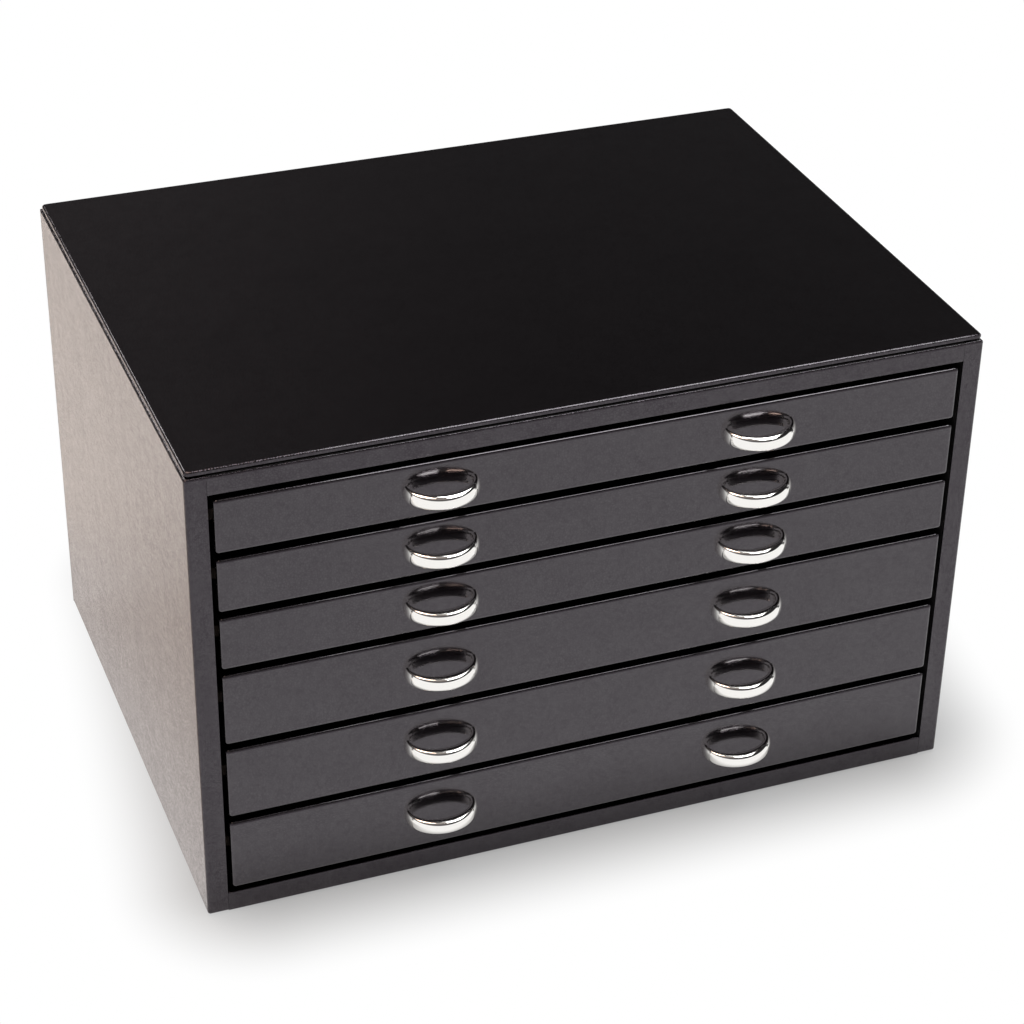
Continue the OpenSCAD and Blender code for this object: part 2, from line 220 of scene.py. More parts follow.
class BoxSettings(bpy.types.PropertyGroup):
    """Colours of the boards, the drawer boxes and the small parts."""

    paper: FloatVectorProperty(
        name="Paper", description="Colour of the paper over the boards and drawer boxes",
        subtype="COLOR", size=3,
        min=0, max=1, default=(0.014, 0.0135, 0.014))
    runner: FloatVectorProperty(
        name="Runner", description="Colour of the stained runner strips", subtype="COLOR", size=3,
        min=0, max=1, default=(0.055, 0.03, 0.018))
    felt: FloatVectorProperty(
        name="Felt", description="Colour of the felt under the chest", subtype="COLOR", size=3,
        min=0, max=1, default=(0.012, 0.012, 0.014))
    steel: FloatVectorProperty(
        name="Steel", description="Colour of the screws", subtype="COLOR", size=3,
        min=0, max=1, default=(0.5, 0.5, 0.52))


class StageSettings(bpy.types.PropertyGroup):
    """The camera, the floor and the room."""

    azimuth: FloatProperty(
        name="Azimuth", description="Direction of the camera round the chest", subtype="ANGLE",
        default=math.radians(-21.259))
    elevation: FloatProperty(
        name="Elevation", description="Height of the camera as an angle", subtype="ANGLE",
        default=math.radians(31.765))
    roll: FloatProperty(
        name="Roll", description="Tilt of the camera to the side",
        subtype="ANGLE", default=math.radians(0.994))
    distance: FloatProperty(
        name="Distance", description="Distance from the camera to the point it looks at", unit="LENGTH",
        default=1.26085)
    aim: FloatVectorProperty(
        name="Aim", description="Point that the camera looks at", subtype="TRANSLATION", size=3,
        default=(0.02353, 0.033, 0.06543))
    lens: FloatProperty(
        name="Lens", description="Focal length in millimetres on a 36 mm frame", default=94.037)
    floor_size: FloatProperty(
        name="Floor size", description="Width of the floor", unit="LENGTH", default=30.0)
    floor_colour: FloatVectorProperty(
        name="Floor colour", description="Colour of the floor", subtype="COLOR", size=3,
        min=0, max=1, default=(0.9, 0.9, 0.9))
    shade_centre: FloatVectorProperty(
        name="Shade centre", description="Middle of the shaded part of the floor",
        subtype="TRANSLATION", size=2,
        default=(0.019, 0.019))
    shade_half: FloatVectorProperty(
        name="Shade half size", description="Half the width and depth of the shaded part of the floor",
        subtype="TRANSLATION", size=2, default=(0.16, 0.138))
    shade_lean: FloatProperty(
        name="Shade lean", description="How far the shade leans to the right for each metre to the back",
        default=0.116)
    shade_corner: FloatProperty(
        name="Shade corner", description="Rounding of the shade's corners", unit="LENGTH", default=19 * MM)
    shade_inside: FloatProperty(
        name="Shade inside", description="Distance inside the shade's outline at which it begins to fade",
        unit="LENGTH", default=11 * MM)
    # Grey of the shade painted on the floor near the chest as a glow
    shade_colour: FloatVectorProperty(
        name="Shade colour", description="Colour of the shade under the chest", subtype="COLOR", size=3,
        min=0, max=1, default=(0.36, 0.36, 0.36))
    shade_width: FloatProperty(
        name="Shade width", description="Distance outside the shade's outline where the floor is white",
        unit="LENGTH", default=58 * MM)
    room: FloatVectorProperty(
        name="Room", description="Light of the dim room overhead", subtype="COLOR", size=3,
        min=0, max=1, default=(0.02, 0.019, 0.02))
    left_glow: FloatVectorProperty(
        name="Left glow", description="Light of the dim room at the left", subtype="COLOR", size=3,
        min=0, max=1, default=(0.1, 0.092, 0.094))
    # Painted reflection: a warm glow that only mirrors see on the floor left of the chest, which warms the
    # case's left side
    left_painted_reflection: FloatVectorProperty(
        name="Left painted reflection", description="What the left side mirrors of the floor beside it", subtype="COLOR",
        size=3, min=0, max=1, default=(1.0, 0.93, 0.9))
    horizon: FloatVectorProperty(
        name="Horizon", description="Light of the dim room near the floor", subtype="COLOR", size=3,
        min=0, max=1, default=(0.06, 0.058, 0.06))


class ChestSettings(bpy.types.PropertyGroup):
    """All settings of the chest."""

    leather: PointerProperty(type=LeatherSettings)
    pulls: PointerProperty(type=PullSettings)
    lining: PointerProperty(type=LiningSettings)
    box: PointerProperty(type=BoxSettings)
    stage: PointerProperty(type=StageSettings)


class Wire:
    """A node socket that takes part in arithmetic. Each operation on it adds a Math node to its tree."""

    def __init__(self, tree, socket=None):
        self.tree = tree
        self.socket = socket

    def node(self, kind, settings=None, inputs=None, output=0):
        """Adds a node: its settings first, then the values or links of its inputs. Gives one output."""
        made = self.tree.nodes.new(kind)
        for name, value in (settings or {}).items():
            setattr(made, name, value)
        for name, value in (inputs or {}).items():
            if isinstance(value, Wire):
                self.tree.links.new(value.socket, made.inputs[name])
            else:
                made.inputs[name].default_value = value
        return Wire(self.tree, made.outputs[output] if len(made.outputs) else None)

    def math(self, operation, first, second):
        """Adds a Math node on two values."""
        return self.node("ShaderNodeMath", {"operation": operation}, {0: first, 1: second})

    def __add__(self, other):
        return self.math("ADD", self, other)

    def __radd__(self, other):
        return self.math("ADD", other, self)

    def __sub__(self, other):
        return self.math("SUBTRACT", self, other)

    def __rsub__(self, other):
        return self.math("SUBTRACT", other, self)

    def __mul__(self, other):
        return self.math("MULTIPLY", self, other)

    def __rmul__(self, other):
        return self.math("MULTIPLY", other, self)


def material(name):
    """An empty node material, and a Wire that adds nodes to it."""
    made = bpy.data.materials.new(name)
    made.use_nodes = True
    made.node_tree.nodes.clear()
    return made, Wire(made.node_tree)


def object_place(tree, stretch=(1.0, 1.0, 1.0)):
    """Object coordinates in millimetres, with each axis divided by its stretch."""
    place = tree.node("ShaderNodeTexCoord", output="Object")
    scale = tuple(1 / (MM * s) for s in stretch)
    return tree.node("ShaderNodeVectorMath", {"operation": "MULTIPLY"}, {0: place, 1: scale})


def noise(tree, place, size, detail=2.0):
    """Cloudy noise from 0 to 1 whose patches are about the given size across."""
    inputs = {"Vector": place, "Scale": 1 / size, "Detail": detail}
    return tree.node("ShaderNodeTexNoise", None, inputs, "Fac")


def between(tree, value, low, high):
    """A smooth step of the value: 0 at the first limit and before it, 1 at the second and past it."""
    inputs = {"Value": value, "From Min": low, "From Max": high}
    return tree.node("ShaderNodeMapRange", {"interpolation_type": "SMOOTHSTEP"}, inputs)


def blend(tree, factor, first, second):
    """One colour blended into another."""
    first, second = (c if isinstance(c, Wire) else (*c, 1.0) for c in (first, second))
    return tree.node("ShaderNodeMix", {"data_type": "RGBA"}, {0: factor, 6: first, 7: second}, 2)


def bump(tree, height, depth):
    """A surface direction tilted by a height from 0 to 1 that stands for the given depth."""
    return tree.node("ShaderNodeBump", None, {"Height": height, "Distance": depth, "Strength": 1.0})


def principled(tree, inputs):
    """Ends the tree in one Principled shader with these inputs."""
    shader = tree.node("ShaderNodeBsdfPrincipled", None, inputs)
    tree.node("ShaderNodeOutputMaterial", None, {"Surface": shader})


def sight(tree):
    """Whether the camera sees a surface, and whether a mirror or a clear piece does."""
    straight = tree.node("ShaderNodeLightPath", output="Is Camera Ray")
    glossy = tree.node("ShaderNodeLightPath", output="Is Glossy Ray")
    through = tree.node("ShaderNodeLightPath", output="Is Transmission Ray")
    return straight, tree.math("MAXIMUM", glossy, through)


def darker(colour, share):
    """A colour scaled by a share."""
    return tuple(share * c for c in colour)


def leather_finish(look, name, coat, worn, streak, grain_share, grain=1.0, stretch=1.0):
    """Black dyed leather: round pebbles parted by creases, fine pores and a clear top coat.

    The height is a smooth step of the distance to the edge between grain cells, plus pores. The coat is worn
    thinner between the pebbles, in small blotches and in streaks that run along the given stretch of the
    axes, and a line pressed below the upper edges has none. Worn is the share left where it is thinnest. The
    grain can be scaled, and stretched along Y.
    """
    made, tree = material(name)
    place = object_place(tree, (1.0, stretch, 1.0))
    grain = grain * look.grain_size / MM
    wander = tree.node("ShaderNodeTexNoise", None, {"Vector": place, "Scale": 0.5 / grain}, "Color")
    bent = tree.node("ShaderNodeVectorMath", {"operation": "MULTIPLY_ADD"},
                     {0: wander, 1: (0.5,) * 3, 2: place})
    edge = tree.node("ShaderNodeTexVoronoi", {"feature": "DISTANCE_TO_EDGE"},
                     {"Vector": bent, "Scale": 1 / grain}, "Distance")
    pebble = between(tree, edge, 0.0, 0.3)
    pores = noise(tree, place, 0.25 * grain)
    height = 0.8 * pebble + 0.2 * pores
    cloud = noise(tree, place, 40.0, 3.0)
    hide = noise(tree, object_place(tree, streak), 1.0, 2.0)
    blotch = noise(tree, place, 2.5 * grain, 2.0)
    rough = look.roughness + 0.05 * (1 - pebble) + 0.06 * (hide - 0.5) + 0.04 * (cloud - 0.5)
    wear = 0.6 * pebble + 0.25 * between(tree, blotch, 0.3, 0.7) + 0.15 * between(tree, hide, 0.3, 0.7)
    crease = tree.node("ShaderNodeAttribute", {"attribute_name": "crease"}, None, "Fac")
    principled(tree, {
        "Base Color": blend(tree, cloud, darker(look.colour, 0.75), darker(look.colour, 1.25)),
        "Roughness": rough + 0.4 * crease,
        "IOR": LEATHER_INDEX,
        "Specular Tint": (*look.tint, 1.0),
        "Coat Weight": coat * (worn + (1 - worn) * wear) * (1 - crease),
        "Coat IOR": LEATHER_INDEX,
        "Coat Roughness": look.coat_roughness,
        "Normal": bump(tree, height, grain_share * look.grain_depth),
    })
    return made


def plating_finish(look):
    """Polished plating with the slow waves and faint haze of hand polishing."""
    made, tree = material("polished plating")
    place = object_place(tree)
    waves = noise(tree, place, 9.0, 1.0)
    haze = noise(tree, place, 2.5, 3.0)
    principled(tree, {
        "Base Color": blend(tree, haze, darker(look.colour, 0.97), look.colour),
        "Metallic": 1.0,
        "Roughness": look.roughness * 0.6 + look.roughness * 0.8 * haze,
        "Normal": bump(tree, waves, 0.02 * MM),
    })
    return made


def velour_finish(look):
    """Short velour: a brushed pile of fine tufts that lies lighter and darker in patches."""
    made, tree = material("velour")
    place = object_place(tree)
    tufts = noise(tree, place, 0.35, 3.0)
    brushed = noise(tree, place, 18.0, 3.0)
    tone = 0.45 * tufts + 0.55 * between(tree, brushed, 0.3, 0.7)
    principled(tree, {
        "Base Color": blend(tree, tone, darker(look.colour, 0.72), darker(look.colour, 1.15)),
        "Roughness": 0.95 - 0.1 * brushed,
        "Specular IOR Level": 0.2,
        "Sheen Weight": 0.6,
        "Sheen Roughness": 0.45,
        "Normal": bump(tree, tufts, look.pile),
    })
    return made


def paper_finish(look):
    """Matt black covering paper with a fine linen emboss."""
    made, tree = material("covering paper")
    warp = noise(tree, object_place(tree, (6.0, 0.3, 0.3)), 1.0, 1.0)
    weft = noise(tree, object_place(tree, (0.3, 6.0, 6.0)), 1.0, 1.0)
    cloud = noise(tree, object_place(tree), 25.0, 3.0)
    linen = 0.5 * warp + 0.5 * weft
    principled(tree, {
        "Base Color": blend(tree, cloud, darker(look.paper, 0.8), darker(look.paper, 1.3)),
        "Roughness": 0.55 + 0.25 * linen,
        "Specular IOR Level": 0.35,
        "Normal": bump(tree, linen, 0.03 * MM),
    })
    return made


def runner_finish(look):
    """Dark stained hardwood with its grain along the strip."""
    made, tree = material("stained wood")
    grain = noise(tree, object_place(tree, (0.7, 22.0, 0.7)), 1.0, 4.0)
    pores = noise(tree, object_place(tree, (0.12, 4.0, 0.12)), 1.0, 2.0)
    principled(tree, {
        "Base Color": blend(tree, grain, darker(look.runner, 0.6), darker(look.runner, 1.5)),
        "Roughness": 0.5 + 0.15 * pores,
        "Normal": bump(tree, 0.5 * grain + 0.5 * pores, 0.05 * MM),
    })
    return made


def felt_finish(look):
    """Pressed felt: a tangle of short fibres."""
    made, tree = material("felt")
    place = object_place(tree)
    fibres = noise(tree, place, 0.4, 4.0)
    cloud = noise(tree, place, 12.0, 2.0)
    principled(tree, {
        "Base Color": blend(tree, 0.5 * fibres + 0.5 * cloud, darker(look.felt, 0.6), darker(look.felt, 1.6)),
        "Roughness": 0.9 + 0.1 * fibres,
        "Sheen Weight": 0.3,
        "Normal": bump(tree, fibres, 0.2 * MM),
    })
    return made


def steel_finish(look):
    """Turned steel of the screws, with fine lathe marks and a little haze."""
    made, tree = material("turned steel")
    place = object_place(tree)
    marks = noise(tree, object_place(tree, (0.6, 0.08, 0.6)), 1.0, 2.0)
    haze = noise(tree, place, 0.8, 2.0)
    principled(tree, {
        "Base Color": blend(tree, haze, darker(look.steel, 0.8), look.steel),
        "Metallic": 1.0,
        "Roughness": 0.3 + 0.15 * haze,
        "Normal": bump(tree, marks, 0.01 * MM),
    })
    return made


def grid_faces(rows, columns, around=False):
    """Four-sided faces between the points of a grid, whose second direction may close on itself."""
    row = np.arange(rows - 1)[:, None]
    column = np.arange(columns if around else columns - 1)[None, :]
    after = (column + 1) % columns
    corners = (row * columns + column, (row + 1) * columns + column, (row + 1) * columns + after,
               row * columns + after)
    return np.stack(corners, axis=2).reshape(-1, 4)


def stations(low, high, soft_low, soft_high, count, arc):
    """Places along one edge of a soft box.

    Over a rounding they stand at its radius times the tangent of equal angles up to 45 degrees, so that they
    come out evenly on the quarter circle. One more stands just inside, and the rest are even.
    """
    reach = np.append(np.tan(np.linspace(math.pi / 4, 0.0, arc + 1)), -0.3)
    first = low + soft_low * (1 - reach) if soft_low else np.array([low])
    last = high - soft_high * (1 - reach[::-1]) if soft_high else np.array([high])
    return np.concatenate([first, np.linspace(first[-1], last[0], count + 2)[1:-1], last])


def box_grid(sizes, open_sides):
    """Points on the closed sides of a box, as whole steps along its edges, and the faces between them."""
    steps = []
    faces = []
    start = 0
    for k in range(3):
        i, j = (k + 1) % 3, (k + 2) % 3
        for sign, plane in (("-", 0), ("+", sizes[k] - 1)):
            if sign + AXES[k] in open_sides:
                continue
            a, b = np.meshgrid(np.arange(sizes[i]), np.arange(sizes[j]), indexing="ij")
            side = np.empty((a.size, 3), dtype=int)
            side[:, i], side[:, j], side[:, k] = a.ravel(), b.ravel(), plane
            cells = grid_faces(sizes[i], sizes[j]) + start
            steps.append(side)
            faces.append(cells if sign == "+" else cells[:, ::-1])
            start += len(side)
    steps, merged = np.unique(np.concatenate(steps), axis=0, return_inverse=True)
    return steps, merged.reshape(-1)[np.concatenate(faces)]


def box_skin(low, high, rounding, counts, arc, open_sides):
    """Points, faces and outward directions of a box with rounded edges.

    A point of the sharp box is pulled back to the box that is smaller by the rounding, then pushed out by the
    rounding along the same line. Flats stay flat, edges become quarter circles and corners parts of a ball.
    """
    soft_low = np.array([0.0 if "-" + a in open_sides else rounding for a in AXES])
    soft_high = np.array([0.0 if "+" + a in open_sides else rounding for a in AXES])
    lines = [stations(low[k], high[k], soft_low[k], soft_high[k], counts[k], arc) for k in range(3)]
    steps, faces = box_grid([len(line) for line in lines], open_sides)
    sharp = np.stack([lines[k][steps[:, k]] for k in range(3)], axis=1)
    core = np.clip(sharp, low + soft_low, high - soft_high)
    out = sharp - core
    out /= np.linalg.norm(out, axis=1, keepdims=True)
    return core + rounding * out, faces, out


def rim_edges(faces):
    """Edges that only one face uses, each in that face's own direction."""
    edges = np.stack([faces, np.roll(faces, -1, axis=1)], axis=2).reshape(-1, 2)
    _, back, uses = np.unique(np.sort(edges, axis=1), axis=0, return_inverse=True, return_counts=True)
    return edges[uses[back.reshape(-1)] == 1]


def ripples(points, length, seed, count=8):
    """Waves from 0 to 1: the mean of sine waves in seeded directions, each near the given length."""
    draw = np.random.default_rng(seed)
    turns = draw.normal(size=(count, 3))
    turns *= (draw.uniform(0.7, 1.6, size=(count, 1)) / length) / np.linalg.norm(turns, axis=1, keepdims=True)
    waves = np.sin(2 * math.pi * (points @ turns.T + draw.uniform(size=count)))
    return 0.5 + 0.5 * waves.mean(axis=1)


def hide_relief(look, seed):
    """A function that gives how deep the hide lies at each point: slow ripples plus short dimples."""
    def depth(points):
        slow = look.ripple_height * ripples(points, look.ripple_length, seed)
        return slow + look.dimple_height * ripples(points, look.dimple_length, seed + 100, 24)
    return depth


def tautness(points, low, high, reach):
    """From 0 at the edges of a box to 1 at the given reach from them: a smooth step of each point's second
    least distance to the planes of the box, which is its distance to the nearest edge."""
    gaps = np.sort(np.minimum(points - np.array(low), np.array(high) - points), axis=1)[:, 1]
    share = np.clip(gaps / reach, 0.0, 1.0)
    return share * share * (3 - 2 * share)


def soft_box(low, high, rounding, step, relief=None, reach=0.0, arc=3):
    """A closed box with rounded edges, sunk by a relief that gives each point's depth. The relief fades out
    within the given reach of the edges."""
    low, high = np.array(low), np.array(high)
    counts = [max(1, round(float(s) / step)) for s in high - low]
    points, faces, out = box_skin(low, high, rounding, counts, arc, ())
    if relief:
        depth = relief(points) * (tautness(points, low, high, reach) if reach else 1.0)
        points = points - out * depth[:, None]
    return points, faces


def soft_shell(low, high, rounding, wall, open_sides, relief, reach, arc=8):
    """A wrap with rounded edges round the closed sides of a box: an outer skin sunk by a relief that fades
    out at the edges, an inner skin one wall deeper on the same grid, and a rim between the two along the
    open sides."""
    low, high = np.array(low), np.array(high)
    counts = [max(1, round(float(s) / STEP)) for s in high - low]
    points, faces, out = box_skin(low, high, rounding, counts, arc, open_sides)
    points = points - out * (relief(points) * tautness(points, low, high, reach))[:, None]
    inner_low = low + [0.0 if "-" + a in open_sides else wall for a in AXES]
    inner_high = high - [0.0 if "+" + a in open_sides else wall for a in AXES]
    inner, _, _ = box_skin(inner_low, inner_high, max(rounding - wall, SEAM), counts, arc, open_sides)
    edges = rim_edges(faces)
    rim = np.stack([edges[:, 1], edges[:, 0], edges[:, 0] + len(points), edges[:, 1] + len(points)], axis=1)
    return np.concatenate([points, inner]), np.concatenate([faces, faces[:, ::-1] + len(points), rim])


def round_corners(shape, low, high, radius):
    """Rounds a shape's four upright corners: the square at each corner is drawn in along lines from its inner
    corner, so that every square ring in it becomes a quarter circle."""
    points, faces = shape
    middle = np.array([low.x + high.x, low.y + high.y]) / 2
    inner = np.array([high.x - low.x, high.y - low.y]) / 2 - radius
    offset = points[:, :2] - middle
    past = np.maximum(np.abs(offset) - inner, 0.0)
    length = np.maximum(np.hypot(past[:, 0], past[:, 1]), 1e-9)
    scale = np.where(past.min(axis=1) > 0, past.max(axis=1) / length, 1.0)
    points[:, :2] -= np.sign(offset) * past * (1 - scale)[:, None]
    return points, faces


def sweep(section, places):
    """A closed section carried along X, with flat ends: loops of Y and Z points, one for each place.

    The section runs anticlockwise seen from +X.
    """
    rows, columns = section.shape[:2]
    points = np.concatenate([np.broadcast_to(places[:, None, None], (rows, columns, 1)), section], axis=2)
    sides = grid_faces(rows, columns, around=True)[:, ::-1].tolist()
    first = list(range(columns))[::-1]
    last = [(rows - 1) * columns + k for k in range(columns)]
    return points.reshape(-1, 3), [*sides, first, last]


def turn(centre, radius, start, end, count):
    """Points on an arc from one angle to another, in degrees."""
    angle = np.radians(np.linspace(start, end, count))
    return np.stack([centre[0] + radius * np.cos(angle), centre[1] + radius * np.sin(angle)], axis=1)


def joined(shapes):
    """Several shapes as one list of points and one of faces."""
    starts = np.cumsum([0] + [len(points) for points, _ in shapes])
    faces = [[k + int(start) for k in face] for start, (_, some) in zip(starts, shapes) for face in some]
    return np.concatenate([points for points, _ in shapes]), faces


def piece(name, shape, body, finish, slot, *nodes):
    """A finished piece: a smooth mesh with sharp creases that rides on a body and stands for CAD nodes."""
    points, faces = shape
    mesh = bpy.data.meshes.new(name)
    mesh.from_pydata(np.asarray(points).tolist(), [], [list(map(int, face)) for face in faces])
    mesh.shade_smooth()
    mesh.set_sharp_from_angle(angle=SHARP)
    mesh.materials.append(finish)
    made = bpy.data.objects.new(name, mesh)
    bpy.context.scene.collection.objects.link(made)
    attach(made, body)
    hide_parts(*nodes)
    return made


def crease(made):
    """Marks the line pressed into a cover below its upper edges: a hump of how far the surface faces up."""
    up = np.empty(3 * len(made.data.vertices))
    made.data.vertices.foreach_get("normal", up)
    line = np.interp(up[2::3], CREASE_LINE, (0.0, 1.0, 1.0, 0.0))
    made.data.attributes.new("crease", "FLOAT", "POINT").data.foreach_set("value", line)


def dress(finish, *nodes):
    """Puts a finish on CAD nodes."""
    for node in nodes:
        slots = frame["nodes"][node].material_slots
        if not slots:
            frame["nodes"][node].data.materials.append(finish)
        for slot in slots:
            slot.material = finish


class CHEST_OT_case_leather(bpy.types.Operator):
    """Wraps the sides, the rails, the back and the top panel in leather"""

    bl_idname = "chest.case_leather"
    bl_label = "Case leather"

    def execute(self, context):
        look = context.scene.chest.leather
        upright = leather_finish(look, "leather, upright hide", look.case_coat, worn=0.0,
                                 streak=(6.0, 6.0, 90.0), grain_share=1.8, grain=0.75, stretch=3.0)
        level = leather_finish(look, "leather, level hide", look.case_coat, worn=0.1,
                               streak=(12.0, 12.0, 12.0), grain_share=1.0)
        for seed, (side, inner) in enumerate((("left", "+x"), ("right", "-x"))):
            low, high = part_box(side + "_side_leather")
            relief = hide_relief(look, seed)
            shape = soft_shell(low, high, look.case_rounding, look.thickness, (inner, "+y"), relief,
                               look.taut_edge)
            crease(piece(side + "_side_cover", shape, "case", upright, "leather", side + "_side_leather"))
        low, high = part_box("back_leather")
        shape = soft_box(low, high, look.thickness / 2.2, STEP, hide_relief(look, 2), look.taut_edge)
        piece("back_cover", shape, "case", upright, "leather", "back_leather")
        low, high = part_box("top_panel_leather")
        shape = soft_shell(low, high, look.panel_rounding, look.thickness, ("-z",), hide_relief(look, 3),
                           look.taut_edge)
        shape = round_corners(shape, low, high, look.panel_corner)
        piece("top_panel_cover", shape, "case", level, "leather", "top_panel_leather")
        rails = (("top", 1, look.case_rounding), ("bottom", -1, look.seam_rounding))
        for seed, (rail, flip, rounding) in enumerate(rails, start=4):
            low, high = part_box(rail + "_rail_leather")
            points, faces = self.rail(low, high, look, flip, rounding)
            front = (points[:, 1] < low.y + SEAM) * tautness(points, low, high, look.taut_edge)
            points[:, 1] += front * hide_relief(look, seed)(points)
            shape = points, faces
            crease(piece(rail + "_rail_cover", shape, "case", level, "leather", rail + "_rail_leather"))
        return {"FINISHED"}

    def rail(self, low, high, look, flip, rounding):
        """A rail's wrap: a hook-shaped section, carried along X. The top rail turns in below, the other
        above. Its free edge is rounded as far as the leather is thick."""
        r = look.seam_rounding
        wall = look.thickness
        height = high.z - low.z
        rise = np.linspace(r, height - rounding, round(height / STEP))[1:-1]
        end = 180 - math.degrees(math.acos(max(rounding - wall + SEAM, 0.0) / rounding))
        free = turn((low.y + rounding, height - rounding), rounding, 180, end, 8)
        outer = np.concatenate([
            [[high.y, 0.0]],
            turn((low.y + r, r), r, 270, 180, 6),
            np.stack([np.full(len(rise), low.y), rise], axis=1),
            free])
        inner = np.array([[low.y + wall, free[-1, 1]], [low.y + wall, wall], [high.y, wall]])
        section = np.concatenate([outer, inner])
        if flip > 0:
            section = section[::-1] + (0.0, low.z)
        else:
            section = (0.0, high.z) + section * (1, -1)
        places = np.linspace(low.x + SEAM, high.x - SEAM, round((high.x - low.x) / STEP))
        return sweep(np.broadcast_to(section, (len(places), *section.shape)), places)


class CHEST_OT_drawer_fronts(bpy.types.Operator):
    """Wraps the six drawer fronts in leather"""

    bl_idname = "chest.drawer_fronts"
    bl_label = "Drawer fronts"

    def execute(self, context):
        look = context.scene.chest.leather
        finish = leather_finish(look, "leather, drawer fronts", look.front_coat, worn=0.4,
                                streak=(12.0, 12.0, 12.0), grain_share=0.25)
        for seed, drawer in enumerate(DRAWERS, start=10):
            low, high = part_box(drawer + "_front_leather")
            relief = hide_relief(look, seed)
            shape = soft_shell(low, high, look.front_rounding, look.thickness, ("+y",), relief,
                               look.taut_edge)
            leather = drawer + "_front_leather"
            crease(piece(drawer + "_front_cover", shape, drawer, finish, "leather", leather))
        return {"FINISHED"}


class CHEST_OT_pulls(bpy.types.Operator):
    """Makes the twelve crescent pulls"""

    bl_idname = "chest.pulls"
    bl_label = "Crescent pulls"

    def execute(self, context):
        look = context.scene.chest.pulls
        finish = plating_finish(look)
        for drawer in DRAWERS:
            low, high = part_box(drawer + "_pulls")
            reach = high.y - low.y
            drop = high.z - low.z - look.height
            spacing = high.x - low.x - look.width
            points, faces = self.crescent(look, reach, drop)
            ends = high.z - look.height / 2
            pair = [(points + (side * spacing / 2, high.y, ends), faces) for side in (-1, 1)]
            piece(drawer + "_crescents", joined(pair), drawer, finish, "chrome", drawer + "_pulls")
        return {"FINISHED"}

    def crescent(self, look, reach, drop, along=96, around=64):
        """One pull with its ends at Y 0.

        The middle line is a half ellipse. The section is a square with soft corners, square to that line,
        whose radius is one over the root of the summed powers of the cosine and sine. It keeps its height.
        Its thickness grows with the squared sine of the angle along the ellipse, and it drops with the sine.
        """
        a = np.linspace(0.0, math.pi, along + 1)[:, None]
        b = np.linspace(0.0, 2 * math.pi, around, endpoint=False)[None, :]
        power = look.squareness
        radius = (np.abs(np.cos(b)) ** power + np.abs(np.sin(b)) ** power) ** (-1 / power)
        half = (look.width - look.end_thickness) / 2
        depth = reach - look.middle_thickness / 2
        thickness = look.end_thickness + (look.middle_thickness - look.end_thickness) * np.sin(a) ** 2
        across, out = np.cos(a) / half, np.sin(a) / depth
        side = thickness / 2 * radius * np.cos(b) / np.hypot(across, out)
        x = half * np.cos(a) + side * across
        y = depth * np.sin(a) + side * out
        z = look.height / 2 * radius * np.sin(b) - drop * np.sin(a)
        points = np.stack([x, -y, z], axis=2).reshape(-1, 3)
        sides = grid_faces(along + 1, around, around=True).tolist()
        first = list(range(around))
        last = [along * around + k for k in range(around)][::-1]
        return points, [*sides, first, last]


class CHEST_OT_linings(bpy.types.Operator):
    """Lines the drawers with velour pads, wall panels and dividers"""

    bl_idname = "chest.linings"
    bl_label = "Velour linings"

    def execute(self, context):
        look = context.scene.chest.lining
        finish = velour_finish(look)
        for k, drawer in enumerate(DRAWERS):
            node = drawer + "_insert"
            low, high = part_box(node)
            pad_top = low.z + look.pad_thickness
            pad = soft_box(low, (high.x, high.y, pad_top), look.rounding, 5 * MM, self.pad_relief(k))
            made = piece(drawer + "_floor_pad", pad, drawer, finish, "velour", node)
            panels = joined(self.panels(look, low, high, pad_top + SEAM))
            piece(drawer + "_wall_panels", panels, drawer, finish, "velour", node)
            dividers = self.dividers(look, low, high, pad_top + SEAM, k)
            if dividers:
                piece(drawer + "_dividers", joined(dividers), drawer, finish, "velour", node)
        return {"FINISHED"}

    def pad_relief(self, seed):
        """A function that gives how deep a pad lies at each point: soft waves about 35 mm long."""
        return lambda points: 0.15 * MM * ripples(points, 35 * MM, 20 + seed)

    def panels(self, look, low, high, z):
        """Four panels on the drawer's walls; the front and back ones run right across."""
        t = look.panel_thickness
        spans = [
            ((low.x, low.y), (high.x, low.y + t)),
            ((low.x, high.y - t), (high.x, high.y)),
            ((low.x, low.y + t + SEAM), (low.x + t, high.y - t - SEAM)),
            ((high.x - t, low.y + t + SEAM), (high.x, high.y - t - SEAM))]
        return [soft_box((*a, z), (*b, high.z), look.rounding, 8 * MM) for a, b in spans]

    def dividers(self, look, low, high, z, k):
        """Dividers that part the space inside the panels into equal columns and rows. In the highest drawer
        the space begins to the right of the divider beside the ring rolls."""
        t = look.divider_thickness
        top = high.z - look.divider_drop
        x0, x1 = low.x + look.panel_thickness, high.x - look.panel_thickness
        y0, y1 = low.y + look.panel_thickness, high.y - look.panel_thickness
        spans = []
        if k == 0:
            beside_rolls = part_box("ring_rolls")[1].x + SEAM
            spans.append(((beside_rolls, y0 + SEAM), (beside_rolls + t, y1 - SEAM)))
            x0 = beside_rolls + t
        width = (x1 - x0 - (COLUMNS[k] - 1) * t) / COLUMNS[k]
        depth = (y1 - y0 - (ROWS[k] - 1) * t) / ROWS[k]
        for column in range(COLUMNS[k]):
            x = x0 + column * (width + t)
            if column:
                spans.append(((x - t, y0 + SEAM), (x, y1 - SEAM)))
            for row in range(1, ROWS[k]):
                y = y0 + row * (depth + t)
                spans.append(((x + SEAM, y - t), (x + width - SEAM, y)))
        return [soft_box((*a, z), (*b, top), 2 * look.rounding, 8 * MM) for a, b in spans]


